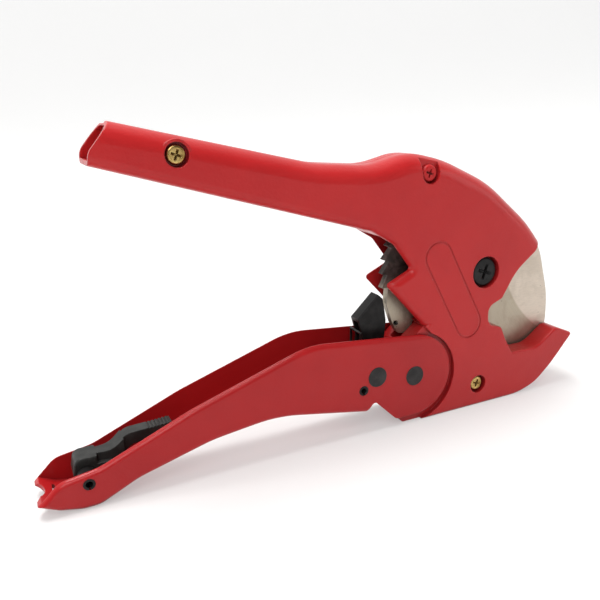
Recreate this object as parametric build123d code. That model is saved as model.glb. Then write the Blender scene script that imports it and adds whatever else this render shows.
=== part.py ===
"""Ratcheting plastic-pipe cutter: a C-shaped two-shell head, a sector blade and a channel handle.

Millimetres. +X points at the jaw's tip, +Z up, and the tool stands on z = 0 with its middle plane
on y = 0. Outlines are drawn in (x, z) and swept along Y. The blade is shut and the handle is open.
"""
from build123d import *
from math import atan2, cos, degrees, hypot, radians, sin
import os

# ---- driving dimensions -------------------------------------------------------------------
HALF = 11.0                     # half of the tool's thickness
WALL = 3.0                      # cast shell's wall
SHEET = 1.8                     # handle's sheet thickness
INSIDE = HALF - WALL            # half width of the shells' hollow
CHANNEL = HALF - SHEET          # half width inside the folded handle
SIDE_GAP = 0.3                  # between the handle's cheeks and the shells

HANDLE_AXIS = (31.0, 21.0)      # lower handle's pivot
BLADE_AXIS = (66.5, 60.5)       # blade's pivot
PAWL_AXIS = (13.0, 24.3)        # drive pawl's pivot, on the lower handle
HOLD_AXIS = (17.5, 101.0)       # holding pawl's pivot, in the head
LATCH_AXIS = (-102.0, 9.5)      # latch's pivot, at the lower handle's end
STOP_PIN = (6.5, 19.7)          # hollow pin that anchors the pawl's spring
REAR_SCREW = (-61.0, 117.5)
TOP_SCREW = (37.8, 103.9)
FRONT_SCREW = (64.6, 9.8)
PANEL_ENDS = ((42.0, 70.2), (58.0, 39.4))
PANEL_R = 6.6
PANEL_GROOVE = 0.8
PANEL_DEPTH = 0.3

RIVET_R = 4.2                   # ends of the two large handle pins
PAWL_SHANK_R = 3.2
ROLL_PIN_R = 2.1
ROLL_BORE_R = 1.25
RUNNING = 0.05                  # radial clearance of a turning fit
NOSE_R = 17.6                   # round end of the handle's cheeks
RECESS_AXIS = (31.0, 19.8)      # centre of the shells' recess round the handle's nose
RECESS_R = 20.2
CROWN_R = 7.0                   # rounding of the crown and the upper handle's top
GRIP_R = 3.4                    # rounding of the upper handle's underside
SEAM = 0.25                     # bevel where the two shells meet
LUG_R = 11.5                    # shells' eye round the handle's pivot

BLADE_T = 3.0
SLOT = 1.9                      # half width of the blade's slot
BLADE_BORE_R = 5.0
HUB_R = 14.0
TAIL_R = 45.6                   # tips of the ratchet teeth
TOOTH_DEPTH = 2.8
TOOTH_PITCH = 7.4               # degrees
TOOTH_COUNT = 10
LAST_TOOTH = 183.0              # direction of the lowest tooth, degrees from +X
GRIND_AXIS = (137.7, 72.0)      # centre of the cutting edge's arc
GRIND_R = 55.0                  # where the bevel starts
EDGE_R = 75.5                   # the cutting edge
EDGE_T = 0.3
TIP = (96.5, 8.8)              # blade's point
SPRING_HOLE = (27.6, 42.2)      # hole in the blade's tail
SPRING_HOLE_R = 1.1

SHANK_R = 2.0                   # M4 body screws
HEAD_R = 3.3
HEAD_H = 1.7
COUNTERBORE_R = 4.1
COUNTERBORE = 2.8
COLLAR_R = 5.0                  # raised rim round the upper handle's screw
PIVOT_SHANK_R = 3.0             # M6 blade screw
PIVOT_HEAD_R = 6.1
PIVOT_HEAD_H = 2.4
PIVOT_COUNTERBORE_R = 6.9
PIVOT_COUNTERBORE = 3.4
NUT_ACROSS_FLATS = 10.0
NUT_H = 4.0
WASHER_R = 9.0
WASHER_T = 0.36

PAWL_HALF = 3.2                 # half width of the folded pawl
PAWL_T = 1.3
SPRING_WIRE_R = 0.55
RETURN_WIRE_R = 0.6


# ---- drawing helpers ----------------------------------------------------------------------
def outline(*corners):
    """Closed flat face from corners (x, z, rounding radius)."""
    points = [(x, z) for x, z, radius in corners]
    radii = [radius for x, z, radius in corners]
    return make_face(FilletPolyline(points, radius=radii, close=True))


def disc(center, radius):
    """Flat disc in (x, z)."""
    return Pos(*center) * Circle(radius)


def slab(face, low_y, high_y):
    """Solid swept from a flat (x, z) face between two Y planes."""
    return extrude(Plane.XZ.offset(-high_y) * face, amount=high_y - low_y)


def rod(center, radius, low_y, high_y):
    """Round bar along Y."""
    return slab(disc(center, radius), low_y, high_y)


def polar(center, radius, direction):
    """Point at a radius and direction, in degrees, from a centre."""
    angle = radians(direction)
    return (center[0] + radius * cos(angle), center[1] + radius * sin(angle))


def sector(center, radius, start, end):
    """Pie slice between two directions, up to 180 degrees wide."""
    arc = ThreePointArc(
        polar(center, radius, start), polar(center, radius, (start + end) / 2), polar(center, radius, end)
    )
    return make_face([arc, Line(arc @ 1, center), Line(center, arc @ 0)])


def at_y(face_edges, y):
    """Edges that lie in one Y plane."""
    return face_edges.filter_by(lambda e: abs(e.bounding_box().min.Y - y) < 1e-3
                                and abs(e.bounding_box().max.Y - y) < 1e-3)


def wire_bar(start, end, radius):
    """Straight round wire between two points (x, y, z), with round ends."""
    span = Vector(*end) - Vector(*start)
    bar = extrude(Plane(origin=start, z_dir=span) * Circle(radius), amount=span.length)
    return bar + Pos(*start) * Sphere(radius) + Pos(*end) * Sphere(radius)


def wire_path(points, radius):
    """Bent wire through points (x, y, z)."""
    wire = wire_bar(points[0], points[1], radius)
    for start, end in zip(points[1:], points[2:]):
        wire += wire_bar(start, end, radius)
    return wire


def coil(center, low_y, turns, mean_r, wire_r, start):
    """Round-wire helix about an axis along Y, starting in a given direction."""
    pitch = 2.1 * wire_r
    path = Helix(pitch=pitch, height=pitch * turns, radius=mean_r)
    profile = Plane(origin=path @ 0, z_dir=path % 0) * Circle(wire_r)
    solid = Rot(0, 0, start) * sweep(profile, path=path, is_frenet=True)
    return Pos(center[0], low_y, center[1]) * Rot(-90, 0, 0) * solid


# ---- the two cast shells ------------------------------------------------------------------
CROWN = [
    (-10, 110.9, 60), (14, 108.5, 34), (31, 112.3, 25),
    (47, 108.2, 60), (69, 97.6, 60), (90.5, 79.5, 60)]


def body_outline():
    """Outer shape of the head, its jaw and the upper handle."""
    top = [(-80.5, 128.9, 0), *CROWN]
    mouth = [(98.2, 70.2, 0), (93.9, 66.2, 1.2), (83.4, 58.6, 25), (76.2, 47.4, 1.5), (69.0, 44.6, 4),
             (69.2, 36.4, 4.5), (76.6, 34.2, 2), (79.3, 28.0, 5), (83.4, 21.0, 1)]
    jaw = [
        (97.5, 20.4, 12), (108.8, 28.4, 4), (119.4, 23.8, 1.2),
        (108, 11.4, 60), (98.4, 3.3, 20), (88, 0, 30)]
    back = [(25, 0, 2), (27, 34, 2), (36.5, 41.3, 0), (18.4, 61.6, 1.2), (29.9, 66.8, 1.2), (22.2, 77.4, 5)]
    handle = [(12.5, 83.6, 8), (-88.8, 115.8, 0), (-88.4, 119.8, 6)]
    return outline(*top, *mouth, *jaw, *back, *handle) + disc(HANDLE_AXIS, LUG_R)


def hollow_outline():
    """Space inside the shells: the hollow handle and the ratchet's chamber, open at the back."""
    return outline(
        (-100, 131.0, 0), (-11, 107.8, 40), (14, 105.3, 30), (30, 108.6, 12), (44.5, 105.2, 8), (51, 98, 6),
        (51, 68, 8), (36.5, 43.2, 2), (20, 40, 0), (8, 60, 0),
        (14.5, 79.6, 0), (18.0, 84.4, 3), (-100, 122.6, 0)
    )


def end_mouth():
    """Thinner-walled opening at the upper handle's end."""
    opening = slab(
        outline((-100, 132.3, 0), (-75, 125.9, 0), (-75, 113.1, 0), (-100, 121.1, 0)), -HALF + 1.6, 1)
    inner = at_y(opening.edges(), -HALF + 1.6)
    return fillet(inner.sort_by(Axis.Z)[-1], 5.5)


def crown_waste():
    """What is cut off outside the crown's rounding, which runs past both of the crown's ends."""
    block = slab(
        outline((-100, 133.88, 0), *CROWN, (105.9, 60.9, 0), (105.9, -20, 0), (-100, -20, 0)), -HALF, 0)
    top = at_y(block.edges(), -HALF).filter_by(lambda e: e.center().Z > 63 and abs(e.center().X) < 99)
    around = slab(outline((-130, 150, 0), (130, 150, 0), (130, 62, 0), (-130, 62, 0)), -HALF - 1, 1)
    return around - fillet(top, CROWN_R)


def blade_slot():
    """Flat space that the blade sweeps between shut and open, with room at its edges."""
    crown_side = sector(BLADE_AXIS, TAIL_R - TOOTH_DEPTH + 1, 109, 200)
    tail = crown_side + sector(BLADE_AXIS, TAIL_R + 1, 113, 200) + sector(BLADE_AXIS, TAIL_R + 1, 198, 296)
    front = sector(BLADE_AXIS, 60.8, -69, 79)
    return tail + front + disc(BLADE_AXIS, 36.5)


def screw_pad(center, radius, inner_y):
    """Shell material round a body screw."""
    return rod(center, radius, -INSIDE - 0.5, inner_y)


def nose_recess():
    """Area of a shell's side that is set back under the handle's cheek."""
    left_of_pivot = outline((5, -1, 0), (HANDLE_AXIS[0], -1, 0), (44.5, 32.4, 0), (36.5, 41.3, 0), (5, 46, 0))
    return disc(RECESS_AXIS, RECESS_R) + left_of_pivot


def panel_groove():
    """Thin stadium-shaped groove round the plain panel on the head's side."""
    (x0, z0), (x1, z1) = PANEL_ENDS
    lean = degrees(atan2(z1 - z0, x1 - x0))
    middle = Pos((x0 + x1) / 2, (z0 + z1) / 2) * Rot(0, 0, lean)
    centers = hypot(x1 - x0, z1 - z0)
    outer = SlotCenterToCenter(centers, 2 * PANEL_R)
    inner = SlotCenterToCenter(centers, 2 * (PANEL_R - PANEL_GROOVE))
    return middle * (outer - inner)


def blank_shell():
    """Near shell without its holes: rounded outside, hollow inside, slotted for the blade."""
    shell = slab(body_outline(), -HALF, 0)
    shell = chamfer(at_y(shell.edges(), 0), SEAM)
    shell = fillet(at_y(shell.edges(), -HALF).filter_by(lambda e: under_grip(e.center())), GRIP_R)
    shell -= slab(blade_slot(), -SLOT, 1)
    shell -= crown_waste()
    outer = at_y(shell.edges(), -HALF)
    small_edges = outer.filter_by(lambda e: e.center().Z < 66.5)
    shell = fillet(small_edges, 0.9)
    shell += (rod(REAR_SCREW, COLLAR_R, -HALF + 0.5, -1) & slab(body_outline(), -HALF, 0))
    shell -= slab(hollow_outline(), -INSIDE, 1)
    shell -= end_mouth()
    shell += screw_pad(TOP_SCREW, 4.5, -SLOT) & slab(body_outline(), -HALF + 1, 0)
    shell += screw_pad(REAR_SCREW, 4.6, 0)
    shell -= slab(nose_recess(), -HALF - 1, -CHANNEL + SIDE_GAP)
    shell -= slab(panel_groove(), -HALF - 1, -HALF + PANEL_DEPTH)
    return shell


def under_grip(point):
    """True on the upper handle's lower edges and its root."""
    return -80 < point.X < 40 and 67.2 < point.Z < 117 - 0.3 * (point.X + 70)


def bored(shell, sign, through):
    """A shell with the holes that both halves share."""
    for center in (REAR_SCREW, TOP_SCREW, FRONT_SCREW):
        shell -= rod(center, SHANK_R + RUNNING, *sorted((0.0, sign * through)))
    shell -= rod(HANDLE_AXIS, RIVET_R + RUNNING, *sorted((0.0, sign * HALF)))
    shell -= rod(BLADE_AXIS, PIVOT_SHANK_R + RUNNING, *sorted((0.0, sign * HALF)))
    shell -= rod(BLADE_AXIS, BLADE_BORE_R, *sorted((0.0, sign * 4.0)))
    shell -= rod(HOLD_AXIS, SHANK_R, *sorted((0.0, sign * (INSIDE + 1.5))))
    return shell


def top_pocket():
    """Shield-shaped pocket round the top screw, open at the crown."""
    x, z = TOP_SCREW
    return disc(TOP_SCREW, COUNTERBORE_R) + outline(
        (x - 4.2, z, 0), (x + 4.2, z, 0), (x + 5, z + 12, 0), (x - 5, z + 12, 0))


def near_body_shell():
    """Half of the head and upper handle that carries the screw heads."""
    shell = bored(blank_shell(), -1, HALF)
    for center in (REAR_SCREW, FRONT_SCREW):
        shell -= rod(center, COUNTERBORE_R, -HALF - 1, -HALF + COUNTERBORE)
    shell -= slab(top_pocket(), -HALF - 1, -HALF + COUNTERBORE)
    shell -= rod(BLADE_AXIS, PIVOT_COUNTERBORE_R, -HALF - 1, -HALF + PIVOT_COUNTERBORE)
    return shell


def spring_pocket():
    """Room in the far shell for the blade's return spring and its swinging leg."""
    well = rod(BLADE_AXIS, 10.4, SLOT, 7.2) - rod(BLADE_AXIS, 6.4, SLOT, 7.2)
    sweep_room = slab(sector(BLADE_AXIS, 46.0, 196, 290), SLOT - 0.1, 3.9)
    anchor = Pos(BLADE_AXIS[0] - 11.5, 4.6, BLADE_AXIS[1] + 11.5) * Rot(0, -45, 0) * Box(3.2, 5.2, 12)
    return well + sweep_room + anchor


def far_body_shell():
    """Half of the head and upper handle that the screws bite into."""
    shell = bored(mirror(blank_shell(), about=Plane.XZ), 1, INSIDE + 1.2)
    shell -= slab(outline((-95, 140, 0), (-62.5, 140, 0), (-62.5, 123.4, 0), (-95, 131.7, 0)), -1, HALF + 1)
    nut_room = Pos(*BLADE_AXIS) * RegularPolygon(NUT_ACROSS_FLATS / 2 + 0.1, 6, major_radius=False)
    shell -= slab(nut_room, HALF - NUT_H - 0.2, HALF + 1)
    return shell - spring_pocket()


# ---- blade and its pivot ------------------------------------------------------------------
def tooth_points():
    """Ratchet profile from the top tooth to the last: long ramps with radial lower faces."""
    points = []
    for index in reversed(range(TOOTH_COUNT)):
        direction = LAST_TOOTH - index * TOOTH_PITCH
        points.append((*polar(BLADE_AXIS, TAIL_R, direction), 0.25))
        points.append((*polar(BLADE_AXIS, TAIL_R - TOOTH_DEPTH, direction + 0.4), 0.4))
    return points


def blade_outline():
    """Blade seen from the side, shut: cutting sector, hub and toothed tail."""
    front = [
        (106.8, 17.4, 9), (111.3, 27.5, 20), (111.0, 42, 40),
        (105.0, 63.8, 30), (101.4, 69.2, 4), (84, 73, 12)]
    upper = [(64.5, 76.5, 3), (*polar(BLADE_AXIS, TAIL_R - TOOTH_DEPTH, 112), 0.6)]
    lower = [polar(BLADE_AXIS, 44.4, angle) for angle in (192, 204)]
    finger = [(28.6, 37.6, 1.5), (34.6, 36.6, 2.5), (37.0, 45.0, 4), (47.0, 51.5, 6), (57.0, 47.6, 3)]
    hub = [(66.5, 46.4, 2)]
    return outline(*front, *upper, *tooth_points(), *[(x, z, 2) for x, z in lower], *finger, *hub,
                   (70.0, 37.0, 0), (66.0, 30.0, 0), (66.0, 6.0, 0), (*TIP, 0))


def bevel_cutter(side):
    """Ring that grinds one side of the blade down to its edge."""
    start, end = 201.5, 252.0
    direction = radians(start)
    plane = Plane(
        origin=(GRIND_AXIS[0], 0, GRIND_AXIS[1]),
        x_dir=(cos(direction), 0, sin(direction)), z_dir=(-sin(direction), 0, cos(direction))
    )
    half = BLADE_T / 2
    triangle = Polyline(
        (GRIND_R, side * half), (EDGE_R + 2, side * EDGE_T / 2), (EDGE_R + 2, side * (half + 1)),
        (GRIND_R, side * (half + 1)), close=True
    )
    axis = Axis((GRIND_AXIS[0], 0, GRIND_AXIS[1]), (0, -1, 0))
    return revolve(plane * make_face(triangle), axis=axis, revolution_arc=end - start)


def blade():
    """Hardened plate: ground cutting edge in front, ratchet teeth on the tail."""
    outside_edge = disc(GRIND_AXIS, 130) - disc(GRIND_AXIS, EDGE_R)
    cutting_side = outline((67.5, 46.4, 0), (130, 46.4, 0), (130, -5, 0), (60, -5, 0), (60, 46.4, 0))
    plate = slab(blade_outline() - (outside_edge & cutting_side), -BLADE_T / 2, BLADE_T / 2)
    for side in (-1, 1):
        plate -= bevel_cutter(side)
    plate -= rod(BLADE_AXIS, BLADE_BORE_R, -3, 3)
    return plate - rod(SPRING_HOLE, SPRING_HOLE_R, -3, 3)


def blade_bushing():
    """Steel sleeve that the blade turns on."""
    return rod(BLADE_AXIS, BLADE_BORE_R - RUNNING, -3.9, 3.9) \
        - rod(BLADE_AXIS, PIVOT_SHANK_R + RUNNING, -4, 4)


def blade_washer(side):
    """Thin washer between the blade and a shell."""
    inner, outer = BLADE_T / 2 + 0.02, BLADE_T / 2 + 0.02 + WASHER_T
    low, high = sorted((side * inner, side * outer))
    hole = 5.6 if side < 0 else 5.2
    rim = WASHER_R if side < 0 else 6.3
    return rod(BLADE_AXIS, rim, low, high) - rod(BLADE_AXIS, hole, low - 1, high + 1)


def cross_recess(center, face_y, size, depth):
    """Cross-shaped driver recess that narrows as it goes in, cut from the near side."""
    arms = None
    for angle in (20, 110):
        wide = Pos(center[0], face_y, center[1]) * Rot(0, angle, 0) * Box(2 * size, 0.02, 0.42 * size)
        narrow = Pos(center[0], face_y + depth, center[1]) * Rot(0, angle, 0) \
            * Box(0.7 * size, 0.02, 0.25 * size)
        arm = loft([wide.faces().sort_by(Axis.Y)[0], narrow.faces().sort_by(Axis.Y)[-1]])
        arms = arm if arms is None else arms + arm
    return arms


def screw(center, head_r, head_h, shank_r, seat_y, tip_y):
    """Domed cross-recess screw with its head on the near side."""
    head = rod(center, head_r, seat_y - head_h, seat_y)
    rim = at_y(head.edges(), seat_y - head_h)
    head = fillet(rim, min(0.55 * head_h, 1.0))
    head -= cross_recess(center, seat_y - head_h - 0.01, 0.58 * head_r, 0.75 * head_h)
    tip = rod(center, shank_r, seat_y, tip_y)
    end = at_y(tip.edges(), tip_y)
    return head + chamfer(end, 0.3 * shank_r)


def body_screw(center):
    """M4 screw through both shells."""
    return screw(center, HEAD_R, HEAD_H, SHANK_R, -HALF + COUNTERBORE, INSIDE + 0.8)


def blade_pivot_screw():
    """M6 screw that clamps the bushing and carries the blade."""
    return screw(BLADE_AXIS, PIVOT_HEAD_R, PIVOT_HEAD_H, PIVOT_SHANK_R, -HALF + PIVOT_COUNTERBORE, HALF - 0.3)


def blade_pivot_nut():
    """Hexagon nut in the far shell."""
    flat = Pos(*BLADE_AXIS) * RegularPolygon(NUT_ACROSS_FLATS / 2, 6, major_radius=False)
    nut = slab(flat, HALF - NUT_H - 0.2, HALF - 0.2)
    return nut - rod(BLADE_AXIS, PIVOT_SHANK_R + 0.02, 0, HALF + 1)


def blade_return_spring():
    """Torsion spring beside the blade: one leg in the far shell, the other hooked in the blade's tail."""
    mean_r = 8.4
    low_y = 3.1
    leg_direction, anchor_direction, turns = 205, 135, 2 + 70 / 360
    body = coil(BLADE_AXIS, low_y, turns, mean_r, RETURN_WIRE_R, -leg_direction)
    leg_x, leg_z = polar(BLADE_AXIS, mean_r, leg_direction)
    hook_x, hook_z = SPRING_HOLE
    leg = wire_path([(leg_x, low_y, leg_z), (hook_x, 2.7, hook_z), (hook_x, -2.4, hook_z)], RETURN_WIRE_R)
    high_y = low_y + turns * 2.1 * RETURN_WIRE_R
    near_x, near_z = polar(BLADE_AXIS, mean_r, anchor_direction)
    far_x, far_z = polar(BLADE_AXIS, mean_r + 8, anchor_direction)
    return body + leg + wire_bar((near_x, high_y, near_z), (far_x, high_y, far_z), RETURN_WIRE_R)


# ---- lower handle -------------------------------------------------------------------------
def cheek_outline():
    """Side of the folded lower handle."""
    slope = (-0.0980, 0.9952)
    tangent = (HANDLE_AXIS[0] - NOSE_R * slope[0], HANDLE_AXIS[1] + NOSE_R * slope[1])
    low = HANDLE_AXIS[1] - NOSE_R
    top = [
        (-119.2, 4.9, 0), (-111.6, 12.1, 8), (-98, 14.2, 20),
        (-64, 28.0, 60), (-16.5, 43.35, 36), (*tangent, 0)]
    under = [(HANDLE_AXIS[0], low, 0), (22, low, 3), (11.7, 13.8, 1.5), (7.6, 9.6, 0), (-31, 17.0, 60),
             (-57, 13.9, 60), (-85, 6.4, 30), (-99, 0, 10), (-105, 0, 10), (-112.5, 1.7, 5)]
    return outline(*top, *under) + disc(HANDLE_AXIS, NOSE_R)


def channel_space():
    """Everything between the cheeks above the floor; the floor stops short of the notch."""
    floor = [
        (-57, 15.7, 60), (-85, 8.3, 30), (-99.4, 1.8, 10),
        (-105, 1.8, 10), (-112.1, 3.4, 5), (-130, 12, 0)]
    return outline(
        (-130, 70, 0), (70, 70, 0), (70, -10, 0), (8.4, -10, 0),
        (8.4, 11.3, 0), (-31, 18.8, 60), *floor)


def lower_handle():
    """U-shaped sheet-steel handle, open at the top, with a scalloped end."""
    handle = slab(cheek_outline(), -HALF, HALF)
    bends = handle.edges().filter_by(lambda e: abs(abs(e.center().Y) - HALF) < 1e-3
                                     and e.center().Z < 16.9 and -119 < e.center().X < 7
                                     and not (e.center().X < -100 and e.center().Z > 4))
    handle = fillet(bends, 2.2)
    handle -= slab(channel_space(), -CHANNEL, CHANNEL)
    for center in (HANDLE_AXIS, PAWL_AXIS):
        handle -= rod(center, RIVET_R, -HALF - 1, HALF + 1)
    for center in (STOP_PIN, LATCH_AXIS):
        handle -= rod(center, ROLL_PIN_R, -HALF - 1, HALF + 1)
    handle -= Pos(-123.4, 0, 0) * Cylinder(7.2, 40)
    handle -= Pos(-113.2, 0, 3) * Box(1.0, 11.0, 8)
    return handle


def handle_pivot_pin():
    """Rivet that joins the lower handle to the head."""
    return rod(HANDLE_AXIS, RIVET_R, -HALF - 0.1, HALF + 0.1)


def pawl_pin():
    """Shouldered rivet that carries the drive pawl."""
    ends = rod(PAWL_AXIS, RIVET_R, -HALF - 0.1, -CHANNEL) + rod(PAWL_AXIS, RIVET_R, CHANNEL, HALF + 0.1)
    return ends + rod(PAWL_AXIS, PAWL_SHANK_R, -CHANNEL, CHANNEL)


def roll_pin(center):
    """Slotted hollow spring pin across the channel."""
    pin = rod(center, ROLL_PIN_R, -HALF - 0.05, HALF + 0.05) - rod(center, ROLL_BORE_R, -HALF - 1, HALF + 1)
    return pin - Pos(center[0], 0, center[1] - ROLL_PIN_R) * Box(0.6, 3 * HALF, 2 * ROLL_PIN_R - ROLL_BORE_R)


# ---- drive pawl ---------------------------------------------------------------------------
def pawl_cheek():
    """Side of the folded drive pawl."""
    blade_side = [
        (18.4, 56.2, 0), (20.2, 54.4, 0.5), (20.9, 51.0, 1),
        (21.7, 45.0, 8), (20.8, 37.0, 12), (18.4, 27.0, 3)]
    back = [(9.0, 29.0, 3), (10.9, 39.5, 8), (8.8, 47.4, 0)]
    return outline(
        *blade_side, (PAWL_AXIS[0] + 2, PAWL_AXIS[1], 0),
        (PAWL_AXIS[0] - 2, PAWL_AXIS[1], 0), *back) \
        + disc(PAWL_AXIS, 5.6)


def drive_pawl():
    """Folded steel pawl whose web pushes the blade's teeth."""
    block = slab(pawl_cheek(), -PAWL_HALF, PAWL_HALF)
    inside = outline((19.4, 54.2, 0), (30, 54.2, 0), (30, 10, 0), (0, 10, 0), (0, 45.2, 0), (8.6, 45.2, 0))
    web_line = block.edges().filter_by(lambda e: abs(abs(e.center().Y) - PAWL_HALF) < 1e-3
                                       and 47 < e.center().Z < 54.8 and e.center().X < 18 and e.length > 7)
    block = fillet(web_line, 0.8)
    block -= slab(inside, -PAWL_HALF + PAWL_T, PAWL_HALF - PAWL_T)
    return block - rod(PAWL_AXIS, PAWL_SHANK_R + RUNNING, -5, 5)


def pawl_spring():
    """Double torsion spring on the pawl's pin: a bail across the pawl's back and two anchored tails."""
    mean_r = 4.1
    wire = SPRING_WIRE_R
    bail_at = (9.3, 41.8)
    coils = coil(PAWL_AXIS, -7.2, 3, mean_r, wire, 180) + coil(PAWL_AXIS, 3.8, 3, mean_r, wire, 180)
    for side in (-1, 1):
        inner, outer = side * 3.95, side * 7.2
        coils += wire_bar((PAWL_AXIS[0] - mean_r, inner, PAWL_AXIS[1]), (bail_at[0], inner, bail_at[1]), wire)
        coils += wire_bar(
            (PAWL_AXIS[0] - mean_r, outer, PAWL_AXIS[1]), (STOP_PIN[0] + 2.9, outer, 16.8), wire)
    return coils + wire_bar((bail_at[0], -3.95, bail_at[1]), (bail_at[0], 3.95, bail_at[1]), wire)


# ---- holding pawl -------------------------------------------------------------------------
def holding_pawl():
    """Catch in the head that keeps the blade from springing open between strokes."""
    arm = outline(
        (15.0, 101, 1), (15.6, 92, 6), (24.4, 84.6, 0.6),
        (26.0, 87.8, 0.6), (21.6, 93.4, 4), (21.4, 101, 1))
    plate = slab(arm + disc(HOLD_AXIS, 4.2), -1.5, 1.5)
    return plate - rod(HOLD_AXIS, SHANK_R + RUNNING, -3, 3)


def holding_pawl_pin():
    """Pin across the head that the holding pawl turns on."""
    return rod(HOLD_AXIS, SHANK_R, -INSIDE - 1.4, INSIDE + 1.4)


def holding_pawl_spring():
    """Small torsion spring that swings the holding pawl towards the teeth."""
    mean_r = 2.9
    wire = 0.4
    body = coil(HOLD_AXIS, 2.2, 4, mean_r, wire, 180)
    arm = wire_path([(HOLD_AXIS[0] - mean_r, 2.2, HOLD_AXIS[1]), (14.6, 2.2, 92.0), (14.6, 0.0, 92.0)], wire)
    tail = wire_bar((HOLD_AXIS[0] - mean_r, 5.5, HOLD_AXIS[1]), (5.0, 5.5, 97.6), wire)
    return body + arm + tail


# ---- latch --------------------------------------------------------------------------------
def latch_outline():
    """Side of the latch: round pivot lobe, swan neck and thumb tip."""
    top = [
        (-106.4, 10.5, 3), (-105.2, 16.4, 3), (-92.5, 16.2, 8),
        (-86.6, 21.0, 6), (-77, 21.4, 20), (-69.6, 21.9, 0.8)]
    under = [
        (-70.0, 19.2, 0.8), (-77.5, 17.6, 10), (-85.5, 16.4, 5),
        (-91.5, 10.6, 6), (-98.0, 11.0, 3), (-100, 5.8, 2.5),
        (-105.0, 5.8, 3)]
    return outline(*top, *under)


def latch_lever():
    """Thumb latch that locks the closed handles."""
    lever = slab(latch_outline(), -4.5, 4.5)
    rims = lever.edges().filter_by(lambda e: abs(abs(e.center().Y) - 4.5) < 1e-3 and e.center().X < -90)
    lever = fillet(rims, 0.7)
    for side in (-1, 1):
        lever -= Pos(-77, side * 4.75, 20) * Box(22, 4, 14)
        lever -= Pos(-90, side * 5.7, 20) * Rot(0, 0, side * 9) * Box(16, 4, 14)
    for index in range(7):
        lever -= Pos(-70.4 - 1.3 * index, 0, 22.1 - 0.08 * index) * Rot(0, 45, 0) * Box(0.95, 8, 0.95)
    return lever - rod(LATCH_AXIS, ROLL_PIN_R + RUNNING, -10, 10)


def latch_spacer(side):
    """Sleeve that keeps the latch in the middle of the channel."""
    low, high = sorted((side * 4.7, side * 9.1))
    return rod(LATCH_AXIS, 3.6, low, high) - rod(LATCH_AXIS, ROLL_PIN_R + 0.02, low - 1, high + 1)


# ---- the whole tool -----------------------------------------------------------------------
PARTS = {
    "near_body_shell": near_body_shell(),
    "far_body_shell": far_body_shell(),
    "blade": blade(),
    "blade_bushing": blade_bushing(),
    "near_blade_washer": blade_washer(-1),
    "far_blade_washer": blade_washer(1),
    "blade_pivot_screw": blade_pivot_screw(),
    "blade_pivot_nut": blade_pivot_nut(),
    "blade_return_spring": blade_return_spring(),
    "rear_handle_screw": body_screw(REAR_SCREW),
    "top_body_screw": body_screw(TOP_SCREW),
    "front_body_screw": body_screw(FRONT_SCREW),
    "holding_pawl": holding_pawl(),
    "holding_pawl_pin": holding_pawl_pin(),
    "holding_pawl_spring": holding_pawl_spring(),
    "lower_handle": lower_handle(),
    "handle_pivot_pin": handle_pivot_pin(),
    "pawl_pin": pawl_pin(),
    "spring_stop_pin": roll_pin(STOP_PIN),
    "drive_pawl": drive_pawl(),
    "drive_pawl_spring": pawl_spring(),
    "latch_lever": latch_lever(),
    "latch_roll_pin": roll_pin(LATCH_AXIS),
    "near_latch_spacer": latch_spacer(-1),
    "far_latch_spacer": latch_spacer(1),
}

os.makedirs("parts", exist_ok=True)
for name, solid in PARTS.items():
    export_step(solid, f"parts/{name}.step")
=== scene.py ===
"""Ratcheting plastic-pipe cutter: looks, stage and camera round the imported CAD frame. Metres, +Z up."""
from math import cos, radians, sin

import bpy
from mathutils import Matrix, Vector

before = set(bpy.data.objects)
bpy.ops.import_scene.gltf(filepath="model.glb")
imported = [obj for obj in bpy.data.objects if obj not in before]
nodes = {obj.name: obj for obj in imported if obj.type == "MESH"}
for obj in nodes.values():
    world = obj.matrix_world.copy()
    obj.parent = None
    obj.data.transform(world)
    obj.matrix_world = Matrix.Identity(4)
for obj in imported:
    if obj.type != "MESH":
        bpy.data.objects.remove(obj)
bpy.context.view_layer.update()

# The blade's ground bevel lies outside this circle in the XZ plane.
GRIND_CENTRE = (0.1377, 0.0, 0.0720)
GRIND_RADIUS = 0.055

RED = (0.46, 0.016, 0.017)
RED_DEEP = (0.36, 0.010, 0.012)
# Lighter edge red: thin paint and painted highlight.
RED_THIN_PAINT_AND_HIGHLIGHT = (0.60, 0.050, 0.048)

FLOOR_LIGHT = (0.50, 0.498, 0.492)
FLOOR_DARK = (0.47, 0.468, 0.462)
FLOOR_FRONT = -3.0
FLOOR_SIDE = 5.0
SWEEP_START = 2.6
SWEEP_RADIUS = 1.2
SWEEP_STEPS = 24
WALL_TOP = 4.5
FLOOR_GAP = 0.0001

AIM = (0.0, 0.0, 0.05)


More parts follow.
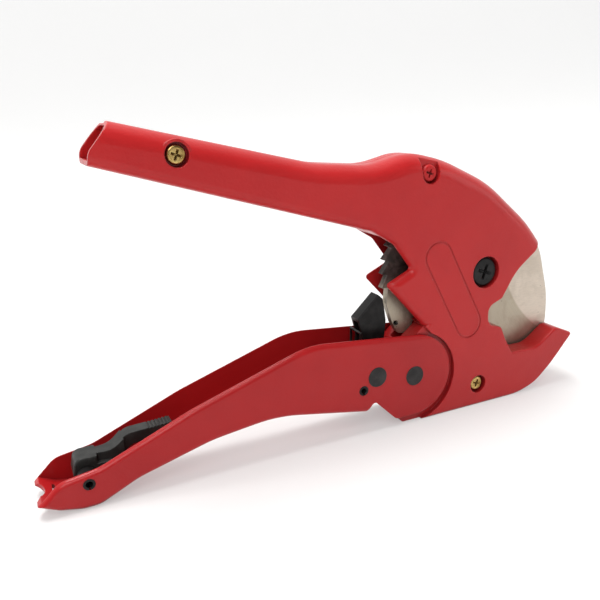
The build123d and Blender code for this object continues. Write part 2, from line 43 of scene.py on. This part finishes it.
# ---- material building ---------------------------------------------------------------------
class Shader:
    """A material's node tree, with short calls for the nodes the looks are made of."""

    def __init__(self, name):
        self.material = bpy.data.materials.new(name)
        self.material.use_nodes = True
        self.tree = self.material.node_tree
        self.tree.nodes.clear()
        self.bsdf = self.tree.nodes.new("ShaderNodeBsdfPrincipled")
        out = self.tree.nodes.new("ShaderNodeOutputMaterial")
        self.link(self.bsdf.outputs["BSDF"], out.inputs["Surface"])
        self.place = self.node("ShaderNodeTexCoord").outputs["Object"]

    def node(self, kind, **settings):
        made = self.tree.nodes.new(kind)
        for key, value in settings.items():
            setattr(made, key, value)
        return made

    def link(self, a, b):
        self.tree.links.new(a, b)

    def feed(self, socket, value):
        if isinstance(value, bpy.types.NodeSocket):
            self.link(value, socket)
        else:
            socket.default_value = value

    def noise(self, scale, detail=3.0, rough=0.5, at=None, distort=0.0):
        made = self.node("ShaderNodeTexNoise")
        self.feed(made.inputs["Vector"], at or self.place)
        made.inputs["Scale"].default_value = scale
        made.inputs["Detail"].default_value = detail
        made.inputs["Roughness"].default_value = rough
        made.inputs["Distortion"].default_value = distort
        return made.outputs["Fac"]

    def cells(self, scale):
        made = self.node("ShaderNodeTexVoronoi", feature="F1")
        self.feed(made.inputs["Vector"], self.place)
        made.inputs["Scale"].default_value = scale
        return made.outputs["Distance"]

    def math(self, operation, a, b=0.0, c=0.0):
        made = self.node("ShaderNodeMath", operation=operation)
        for socket, value in zip(made.inputs, (a, b, c)):
            self.feed(socket, value)
        return made.outputs[0]

    def ramp(self, value, low, high, out_low=0.0, out_high=1.0, smooth=True):
        made = self.node("ShaderNodeMapRange", interpolation_type="SMOOTHSTEP" if smooth else "LINEAR")
        made.clamp = True
        self.feed(made.inputs[0], value)
        for index, number in enumerate((low, high, out_low, out_high), start=1):
            made.inputs[index].default_value = number
        return made.outputs[0]

    def mix(self, factor, a, b):
        made = self.node("ShaderNodeMix", data_type="RGBA")
        self.feed(made.inputs[0], factor)
        for socket, value in ((made.inputs[6], a), (made.inputs[7], b)):
            self.feed(socket, value if isinstance(value, bpy.types.NodeSocket) else (*value, 1.0))
        return made.outputs[2]

    def stretched(self, turn, scale):
        """Coordinates turned about Y by degrees and scaled, for streaks."""
        made = self.node("ShaderNodeMapping")
        self.feed(made.inputs["Vector"], self.place)
        made.inputs["Rotation"].default_value = (0, radians(turn), 0)
        made.inputs["Scale"].default_value = scale
        return made.outputs["Vector"]

    def axes(self):
        made = self.node("ShaderNodeSeparateXYZ")
        self.link(self.place, made.inputs[0])
        return made.outputs

    def distance(self, centre):
        """Distance in the XZ plane from a point."""
        x, y, z = self.axes()
        dx = self.math("SUBTRACT", x, centre[0])
        dz = self.math("SUBTRACT", z, centre[2])
        squares = self.math("ADD", self.math("MULTIPLY", dx, dx), self.math("MULTIPLY", dz, dz))
        return self.math("SQRT", squares)

    def edges(self, radius):
        """About 1 on edges sharper than the radius and 0 on flats, with the softened normal."""
        bevel = self.node("ShaderNodeBevel", samples=6)
        bevel.inputs["Radius"].default_value = radius
        normal = self.node("ShaderNodeNewGeometry").outputs["Normal"]
        dot = self.node("ShaderNodeVectorMath", operation="DOT_PRODUCT")
        self.link(bevel.outputs["Normal"], dot.inputs[0])
        self.link(normal, dot.inputs[1])
        return self.ramp(dot.outputs["Value"], 0.99, 0.82), bevel.outputs["Normal"]

    def painted_hollow_shade(self, distance):
        """About 1 in corners and holes, where the finishes paint shade."""
        made = self.node("ShaderNodeAmbientOcclusion", samples=8)
        made.inputs["Distance"].default_value = distance
        return self.ramp(made.outputs["AO"], 0.75, 0.25)

    def bump(self, height, strength, distance, normal=None):
        made = self.node("ShaderNodeBump")
        made.inputs["Strength"].default_value = strength
        made.inputs["Distance"].default_value = distance
        self.link(height, made.inputs["Height"])
        if normal is not None:
            self.link(normal, made.inputs["Normal"])
        return made.outputs["Normal"]

    def finish(self, colour, roughness, normal, metallic=0.0, coat=0.0, coat_roughness=0.1, specular=0.5):
        self.bsdf.inputs["Specular IOR Level"].default_value = specular
        self.feed(self.bsdf.inputs["Base Color"], colour)
        self.feed(self.bsdf.inputs["Roughness"], roughness)
        self.feed(self.bsdf.inputs["Metallic"], metallic)
        self.link(normal, self.bsdf.inputs["Normal"])
        self.bsdf.inputs["Coat Weight"].default_value = coat
        self.bsdf.inputs["Coat Roughness"].default_value = coat_roughness
        return self.material


# ---- the finishes --------------------------------------------------------------------------
def red_paint(name, base_roughness, peel, edge_radius, coat, depth=0.0):
    """Sprayed red enamel: soft mottling, orange peel, edges lighter as thin paint and as a painted
    highlight, a few chips and dust, painted shade in corners and holes, and painted shade over the whole
    part where depth is given.
    """
    s = Shader(name)
    edge, soft_normal = s.edges(edge_radius)
    hollow_shade = s.painted_hollow_shade(0.006)
    cloud = s.ramp(s.noise(28.0, 4.0, 0.6), 0.35, 0.70)
    # Mottling between RED and RED_DEEP; depth darkens the whole part further towards RED_DEEP as painted
    # shade.
    colour = s.mix(s.math("MULTIPLY_ADD", cloud, 0.45, depth), RED, RED_DEEP)
    # Thin paint and painted highlight: edges turn a lighter red.
    colour = s.mix(s.math("MULTIPLY", edge, 0.35), colour, RED_THIN_PAINT_AND_HIGHLIGHT)
    chip_field = s.noise(420.0, 5.0, 0.65)
    chips = s.math("MULTIPLY", s.ramp(chip_field, 0.66, 0.69), s.ramp(edge, 0.45, 0.8))
    colour = s.mix(chips, colour, (0.20, 0.17, 0.16))
    specks = s.ramp(s.cells(900.0), 0.05, 0.015)
    few = s.ramp(s.noise(120.0, 2.0), 0.60, 0.68)
    colour = s.mix(s.math("MULTIPLY", s.math("MULTIPLY", specks, few), 0.45), colour, (0.62, 0.30, 0.28))
    # Painted shade: corners and holes turn a dark, nearly black red.
    colour = s.mix(s.math("MULTIPLY", hollow_shade, 0.55), colour, (0.10, 0.006, 0.008))
    scuff = s.ramp(s.noise(60.0, 6.0, 0.7, at=s.stretched(-14, (1.0, 1.0, 6.0))), 0.52, 0.75)
    roughness = s.math("ADD", s.math("MULTIPLY", scuff, 0.14), base_roughness)
    height = s.math("ADD", s.noise(900.0, 2.0, 0.5), s.math("MULTIPLY", s.noise(110.0, 2.0, 0.5), 2.2))
    normal = s.bump(height, peel, 0.0004, soft_normal)
    return s.finish(colour, roughness, normal, coat=coat, coat_roughness=0.16, specular=0.22)


def blade_steel():
    """Ground tool steel: grinding arcs on the bevel, a warm dull face and a scorched, stained tail."""
    s = Shader("blade_ground_steel")
    edge, soft_normal = s.edges(0.00025)
    x, _, z = s.axes()
    reach = s.distance(GRIND_CENTRE)
    ring = s.node("ShaderNodeCombineXYZ")
    s.link(s.math("MULTIPLY", reach, 9000.0), ring.inputs[0])
    s.link(s.math("MULTIPLY", x, 60.0), ring.inputs[1])
    arcs = s.noise(1.0, 2.0, 0.6, at=ring.outputs[0])
    lines = s.noise(1.0, 3.0, 0.6, at=s.stretched(38, (260.0, 60.0, 5200.0)))
    bevel = s.ramp(reach, GRIND_RADIUS - 0.0004, GRIND_RADIUS + 0.0006)
    grain = s.node("ShaderNodeMix", data_type="FLOAT")
    s.link(bevel, grain.inputs[0])
    s.link(lines, grain.inputs[2])
    s.link(arcs, grain.inputs[3])
    grain = grain.outputs[0]
    blotch = s.ramp(s.noise(95.0, 6.0, 0.65, distort=0.6), 0.42, 0.66)
    face = s.mix(s.math("MULTIPLY", blotch, 0.5), (0.66, 0.57, 0.48), (0.50, 0.42, 0.34))
    ground = s.mix(s.math("MULTIPLY", blotch, 0.6), (0.46, 0.40, 0.31), (0.36, 0.30, 0.22))
    colour = s.mix(bevel, face, ground)
    colour = s.mix(s.math("MULTIPLY", s.ramp(grain, 0.35, 0.7), 0.25), colour, (0.30, 0.28, 0.25))
    heat = s.math("ADD", s.ramp(z, 0.048, 0.070), s.math("MULTIPLY", s.ramp(x, 0.026, 0.033), 0.35))
    heat = s.math("ADD", heat, s.math("MULTIPLY", s.noise(130.0, 5.0, 0.7), 0.8))
    scorch = s.math("MULTIPLY", s.ramp(heat, 0.60, 1.15), s.ramp(x, 0.056, 0.044))
    colour = s.mix(scorch, colour, s.mix(blotch, (0.040, 0.030, 0.026), (0.14, 0.10, 0.09)))
    pits = s.math("MULTIPLY", s.ramp(s.cells(420.0), 0.16, 0.05), s.ramp(s.noise(200.0), 0.56, 0.62))
    colour = s.mix(s.math("MULTIPLY", pits, 0.6), colour, (0.10, 0.08, 0.07))
    rim = s.math("MULTIPLY", edge, s.ramp(scorch, 0.8, 0.2))
    colour = s.mix(s.math("MULTIPLY", rim, 0.5), colour, (0.75, 0.73, 0.70))
    roughness = s.math("ADD", s.math("MULTIPLY", grain, 0.16), s.ramp(scorch, 0.0, 1.0, 0.34, 0.52))
    normal = s.bump(grain, 0.10, 0.0002, soft_normal)
    return s.finish(colour, roughness, normal, metallic=s.ramp(scorch, 0.0, 1.0, 0.82, 0.45))


def coated_steel(name, dark, light, roughness, metallic, edge_radius, wear=0.5, specular=0.5):
    """Plated or blackened steel, mottled, brighter where its edges are rubbed."""
    s = Shader(name)
    edge, soft_normal = s.edges(edge_radius)
    cloud = s.ramp(s.noise(240.0, 4.0, 0.6), 0.35, 0.7)
    colour = s.mix(cloud, dark, light)
    rubbed = s.math("MULTIPLY", edge, s.ramp(s.noise(500.0, 3.0, 0.6), 0.40, 0.62))
    bright = tuple(min(1.0, 2.2 * value + 0.05) for value in light)
    colour = s.mix(s.math("MULTIPLY", rubbed, wear), colour, bright)
    # Painted shade: corners and holes, such as screw recesses, turn darker.
    colour = s.mix(s.math("MULTIPLY", s.painted_hollow_shade(0.002), 0.6), colour, tuple(0.35 * value for value in dark))
    rough = s.math("ADD", s.math("MULTIPLY", s.noise(400.0, 3.0, 0.6), 0.2), roughness - 0.1)
    normal = s.bump(s.noise(900.0, 2.0, 0.6), 0.12, 0.0002, soft_normal)
    return s.finish(colour, rough, normal, metallic=metallic, specular=specular)


finishes = {
    "cast": red_paint("red_enamel_on_casting", 0.30, 0.20, 0.0006, 0.14),
    # The handle's sheet takes the same red, darkened all over as painted shade (depth 0.55).
    "sheet": red_paint("red_enamel_on_sheet_painted_shade", 0.28, 0.14, 0.0005, 0.10, depth=0.55),
    "red_screw": red_paint("red_enamel_on_screw", 0.34, 0.16, 0.0003, 0.05),
    "blade": blade_steel(),
    "black": coated_steel(
        "black_oxide", (0.007, 0.0065, 0.0065), (0.016, 0.015, 0.015), 0.40, 0.1, 0.0003, 0.35, 0.2),
    "rivet": coated_steel(
        "phosphated_rivet", (0.022, 0.021, 0.021), (0.040, 0.038, 0.038), 0.50, 0.1, 0.0003, 0.4, 0.2),
    "gold": coated_steel("yellow_zinc", (0.30, 0.18, 0.05), (0.66, 0.48, 0.18), 0.26, 0.95, 0.0003),
    "zinc": coated_steel("clear_zinc", (0.42, 0.42, 0.42), (0.60, 0.60, 0.59), 0.34, 0.95, 0.0003),
    "spring": coated_steel("spring_wire", (0.030, 0.029, 0.029), (0.075, 0.073, 0.070), 0.30, 0.8, 0.0002),
    "latch": coated_steel(
        "dark_latch", (0.020, 0.020, 0.019), (0.036, 0.036, 0.034), 0.46, 0.1, 0.0004, 0.35, 0.2),
}

wears = {
    "near_body_shell": "cast", "far_body_shell": "cast", "lower_handle": "sheet", "blade": "blade",
    "blade_pivot_screw": "black", "blade_pivot_nut": "black", "holding_pawl": "black", "drive_pawl": "black",
    "top_body_screw": "red_screw", "rear_handle_screw": "gold", "front_body_screw": "gold",
    "handle_pivot_pin": "rivet", "pawl_pin": "rivet", "spring_stop_pin": "black", "latch_roll_pin": "black",
    "blade_bushing": "zinc", "near_blade_washer": "zinc", "far_blade_washer": "zinc",
    "holding_pawl_pin": "zinc",
    "near_latch_spacer": "black", "far_latch_spacer": "black", "latch_lever": "latch",
    "blade_return_spring": "spring", "holding_pawl_spring": "spring", "drive_pawl_spring": "spring",
}
for name, finish in wears.items():
    for material_slot in nodes[name].material_slots:
        material_slot.material = finishes[finish]


# ---- stage, light and camera ---------------------------------------------------------------
def floor():
    """Pale, faintly glowing sheet that curves up into a backdrop well behind the tool."""
    sweep = []
    for index in range(SWEEP_STEPS + 1):
        turn = radians(90 * index / SWEEP_STEPS)
        sweep.append((SWEEP_START + SWEEP_RADIUS * sin(turn), SWEEP_RADIUS - SWEEP_RADIUS * cos(turn)))
    profile = [(FLOOR_FRONT, 0.0), *sweep, (SWEEP_START + SWEEP_RADIUS, WALL_TOP)]
    mesh = bpy.data.meshes.new("floor")
    vertices = [(x, y, z - FLOOR_GAP) for y, z in profile for x in (-FLOOR_SIDE, FLOOR_SIDE)]
    faces = [(2 * i, 2 * i + 1, 2 * i + 3, 2 * i + 2) for i in range(len(profile) - 1)]
    mesh.from_pydata(vertices, [], faces)
    mesh.polygons.foreach_set("use_smooth", [True] * len(faces))
    made = bpy.data.objects.new("floor", mesh)
    bpy.context.scene.collection.objects.link(made)
    s = Shader("pale_floor")
    colour = s.mix(s.noise(3.0, 2.0), FLOOR_LIGHT, FLOOR_DARK)
    away = s.node("ShaderNodeVectorMath", operation="LENGTH")
    s.link(s.place, away.inputs[0])
    glow = s.ramp(away.outputs["Value"], 0.15, 1.6, 0.36, 0.70, smooth=False)
    s.link(glow, s.bsdf.inputs["Emission Strength"])
    s.bsdf.inputs["Emission Color"].default_value = (1.0, 1.0, 1.0, 1.0)
    mesh.materials.append(s.finish(colour, 0.7, s.bump(s.noise(700.0, 2.0), 0.03, 0.0002), specular=0.1))


def lamp(name, place, target, size, power):
    """Rectangular soft light that faces its target."""
    light = bpy.data.lights.new(name, "AREA")
    light.shape = "RECTANGLE"
    light.size, light.size_y = size
    light.energy = power
    made = bpy.data.objects.new(name, light)
    made.location = place
    made.rotation_euler = (Vector(target) - Vector(place)).to_track_quat("-Z", "Y").to_euler()
    bpy.context.scene.collection.objects.link(made)


def camera():
    """Low, a little above the tool and to its left, looking along +Y."""
    right = Vector((0.9068523, -0.4195702, -0.0397475))
    ahead = Vector((0.3918368, 0.8741045, -0.2870631))
    up = Vector((0.1551866, 0.2447493, 0.9570867))
    turn = Matrix((right, up, -ahead)).transposed().to_4x4()
    lens = bpy.data.cameras.new("camera")
    lens.lens, lens.sensor_width = 39.0, 36.0
    lens.clip_start = 0.01
    made = bpy.data.objects.new("camera", lens)
    made.matrix_world = Matrix.Translation((-0.114006, -0.220524, 0.131190)) @ turn
    bpy.context.scene.collection.objects.link(made)
    bpy.context.scene.camera = made


def studio():
    """Room that lights from behind and is dim in front, which keeps the near faces rich in colour.

    The camera itself sees plain white where there is no floor."""
    world = bpy.data.worlds.new("studio")
    world.use_nodes = True
    tree = world.node_tree
    background = tree.nodes["Background"]
    split = tree.nodes.new("ShaderNodeSeparateXYZ")
    tree.links.new(tree.nodes.new("ShaderNodeTexCoord").outputs["Generated"], split.inputs[0])
    depth = tree.nodes.new("ShaderNodeMapRange")
    depth.interpolation_type = "SMOOTHSTEP"
    tree.links.new(split.outputs["Y"], depth.inputs[0])
    for index, number in enumerate((-0.55, 0.15, 0.16, 1.05), start=1):
        depth.inputs[index].default_value = number
    seen = tree.nodes.new("ShaderNodeLightPath")
    strength = tree.nodes.new("ShaderNodeMix")
    tree.links.new(seen.outputs["Is Camera Ray"], strength.inputs["Factor"])
    tree.links.new(depth.outputs[0], strength.inputs["A"])
    strength.inputs["B"].default_value = 1.0
    tree.links.new(strength.outputs["Result"], background.inputs["Strength"])
    background.inputs["Color"].default_value = (1.0, 0.995, 0.985, 1.0)
    bpy.context.scene.world = world


floor()
lamp("top", (-0.15, 0.10, 0.95), AIM, (0.6, 0.35), 8.0)
lamp("key", (-0.45, -0.75, 0.85), AIM, (0.6, 0.6), 5.5)
lamp("fill", (0.85, -0.55, 0.35), (0.03, 0.0, 0.05), (0.5, 0.5), 1.4)
camera()
studio()
bpy.context.scene.view_settings.view_transform = "Standard"
